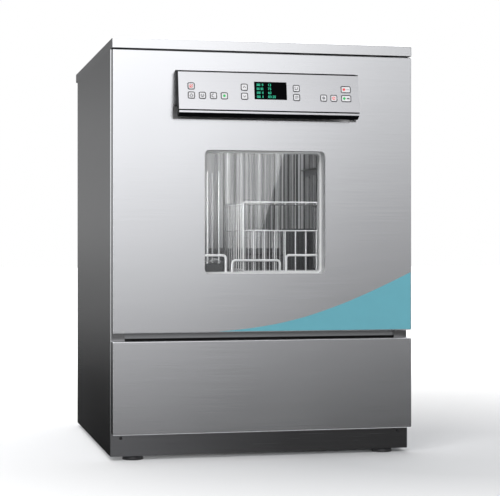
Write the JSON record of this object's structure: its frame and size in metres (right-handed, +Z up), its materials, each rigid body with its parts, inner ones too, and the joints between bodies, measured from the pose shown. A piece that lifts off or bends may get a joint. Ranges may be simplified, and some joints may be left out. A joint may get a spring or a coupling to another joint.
{
  "type": "laboratory glassware washer",
  "caption": "Under-bench stainless laboratory glassware washer with a drop-down glazed door, sloping key fascia, wire rack with basket and injectors, spray arms and pump base.",
  "frame": {"origin": "on the floor under the middle of the machine, halfway between the farthest front and rear points of the body", "axes": "+X to the right seen from the front, +Y to the rear, +Z up"},
  "size_m": [0.735, 0.833, 0.995],
  "materials": {
    "outer_steel": "fine horizontal brushing, satin",
    "frame_steel": "plain mill finish",
    "chamber_steel": "smooth bright stainless steel",
    "wire_steel": "electropolished wire and tube",
    "fascia_aluminium": "fine brushed, satin anodised",
    "black_plastic": "fine-grained black moulding",
    "grey_plastic": "grey moulding",
    "key_cap": "soft white keys",
    "display_black": "glossy black window",
    "clear_glass": "clear toughened panes",
    "gasket_rubber": "black silicone",
    "seal_rubber": "pale grey silicone",
    "pump_metal": "painted motor casing",
    "zinc_steel": "zinc-plated fittings",
    "valve_brass": "threaded brass bodies"
  },
  "bodies": {
    "cabinet": {"base_frame": "frame_steel", "left_side_panel": "outer_steel", "right_side_panel": "outer_steel", "rear_panel": "frame_steel", "countertop": "outer_steel", "front_frame": "frame_steel", "plinth_panel": "outer_steel", "panel_screws": "black_plastic", "service_panel": "outer_steel", "wash_chamber": "chamber_steel", "door_gasket": "gasket_rubber", "rack_rails": "chamber_steel", "wash_manifold": "chamber_steel", "sump": "grey_plastic", "sump_filter": "chamber_steel", "heater_element": "wire_steel", "circulation_pump": "pump_metal", "drain_pump": "grey_plastic", "drain_outlet": "grey_plastic", "inlet_valves": "valve_brass", "cable_gland": "black_plastic", "control_box": "zinc_steel", "dosing_pumps": "grey_plastic", "door_lock": "zinc_steel", "levelling_feet": "black_plastic", "hinge_brackets": "zinc_steel"},
    "door": {"door_skin": "outer_steel", "door_inner_panel": "chamber_steel", "grip_recess": "outer_steel", "window_frame": "chamber_steel", "outer_glass": "clear_glass", "inner_glass": "clear_glass", "glass_seals": "seal_rubber", "hinge_leaves": "zinc_steel", "lock_strike": "zinc_steel", "fascia_housing": "black_plastic", "fascia_plate": "fascia_aluminium", "fascia_trim": "fascia_aluminium", "display_window": "display_black"},
    "rack": {"rack_frame": "wire_steel", "rack_deck": "wire_steel", "insert_basket": "wire_steel", "rack_injectors": "wire_steel"},
    "lock_bolt": {"lock_bolt": "wire_steel"},
    "lower_spray_arm": {"lower_spray_arm": "chamber_steel"},
    "upper_spray_arm": {"upper_spray_arm": "chamber_steel"},
    "home_key": {"home_key": "key_cap"},
    "program_key_1": {"program_key_1": "key_cap"},
    "program_key_2": {"program_key_2": "key_cap"},
    "program_key_3": {"program_key_3": "key_cap"},
    "program_key_4": {"program_key_4": "key_cap"},
    "up_key": {"up_key": "key_cap"},
    "down_key": {"down_key": "key_cap"},
    "back_key": {"back_key": "key_cap"},
    "enter_key": {"enter_key": "key_cap"},
    "door_key": {"door_key": "key_cap"},
    "alarm_key": {"alarm_key": "key_cap"},
    "stop_key": {"stop_key": "key_cap"},
    "start_key": {"start_key": "key_cap"}
  },
  "joints": [
    {"name": "door_hinge", "type": "hinge", "parent": "cabinet", "child": "door", "pos_m": [0, -0.3435, 0.312], "axis": [1, 0, 0], "range_deg": [0, 90]},
    {"name": "rack_slide", "type": "slide", "parent": "cabinet", "child": "rack", "axis": [0, -1, 0], "range_m": [0, 0.275]},
    {"name": "lock_bolt_slide", "type": "slide", "parent": "cabinet", "child": "lock_bolt", "axis": [0, -1, 0], "range_m": [0, 0.012]},
    {"name": "lower_arm_spin", "type": "hinge", "parent": "cabinet", "child": "lower_spray_arm", "pos_m": [0, -0.0185, 0.393], "axis": [0, 0, 1], "continuous": true},
    {"name": "upper_arm_spin", "type": "hinge", "parent": "cabinet", "child": "upper_spray_arm", "pos_m": [0, -0.0185, 0.871], "axis": [0, 0, 1], "continuous": true},
    {"name": "home_key_press", "type": "slide", "parent": "door", "child": "home_key", "axis": [0, 0.9864, -0.1644], "range_m": [0, 0.0008], "stiffness_N_per_m": 500, "springref_m": -0.0005},
    {"name": "program_key_1_press", "type": "slide", "parent": "door", "child": "program_key_1", "axis": [0, 0.9864, -0.1644], "range_m": [0, 0.0008], "stiffness_N_per_m": 500, "springref_m": -0.0005},
    {"name": "program_key_2_press", "type": "slide", "parent": "door", "child": "program_key_2", "axis": [0, 0.9864, -0.1644], "range_m": [0, 0.0008], "stiffness_N_per_m": 500, "springref_m": -0.0005},
    {"name": "program_key_3_press", "type": "slide", "parent": "door", "child": "program_key_3", "axis": [0, 0.9864, -0.1644], "range_m": [0, 0.0008], "stiffness_N_per_m": 500, "springref_m": -0.0005},
    {"name": "program_key_4_press", "type": "slide", "parent": "door", "child": "program_key_4", "axis": [0, 0.9864, -0.1644], "range_m": [0, 0.0008], "stiffness_N_per_m": 500, "springref_m": -0.0005},
    {"name": "up_key_press", "type": "slide", "parent": "door", "child": "up_key", "axis": [0, 0.9864, -0.1644], "range_m": [0, 0.0008], "stiffness_N_per_m": 500, "springref_m": -0.0005},
    {"name": "down_key_press", "type": "slide", "parent": "door", "child": "down_key", "axis": [0, 0.9864, -0.1644], "range_m": [0, 0.0008], "stiffness_N_per_m": 500, "springref_m": -0.0005},
    {"name": "back_key_press", "type": "slide", "parent": "door", "child": "back_key", "axis": [0, 0.9864, -0.1644], "range_m": [0, 0.0008], "stiffness_N_per_m": 500, "springref_m": -0.0005},
    {"name": "enter_key_press", "type": "slide", "parent": "door", "child": "enter_key", "axis": [0, 0.9864, -0.1644], "range_m": [0, 0.0008], "stiffness_N_per_m": 500, "springref_m": -0.0005},
    {"name": "door_key_press", "type": "slide", "parent": "door", "child": "door_key", "axis": [0, 0.9864, -0.1644], "range_m": [0, 0.0008], "stiffness_N_per_m": 500, "springref_m": -0.0005},
    {"name": "alarm_key_press", "type": "slide", "parent": "door", "child": "alarm_key", "axis": [0, 0.9864, -0.1644], "range_m": [0, 0.0008], "stiffness_N_per_m": 500, "springref_m": -0.0005},
    {"name": "stop_key_press", "type": "slide", "parent": "door", "child": "stop_key", "axis": [0, 0.9864, -0.1644], "range_m": [0, 0.0008], "stiffness_N_per_m": 500, "springref_m": -0.0005},
    {"name": "start_key_press", "type": "slide", "parent": "door", "child": "start_key", "axis": [0, 0.9864, -0.1644], "range_m": [0, 0.0008], "stiffness_N_per_m": 500, "springref_m": -0.0005}
  ],
  "couplings": [
    {"joint": "rack_slide", "follows": "door_hinge", "m_per_rad": 0.175}
  ]
}
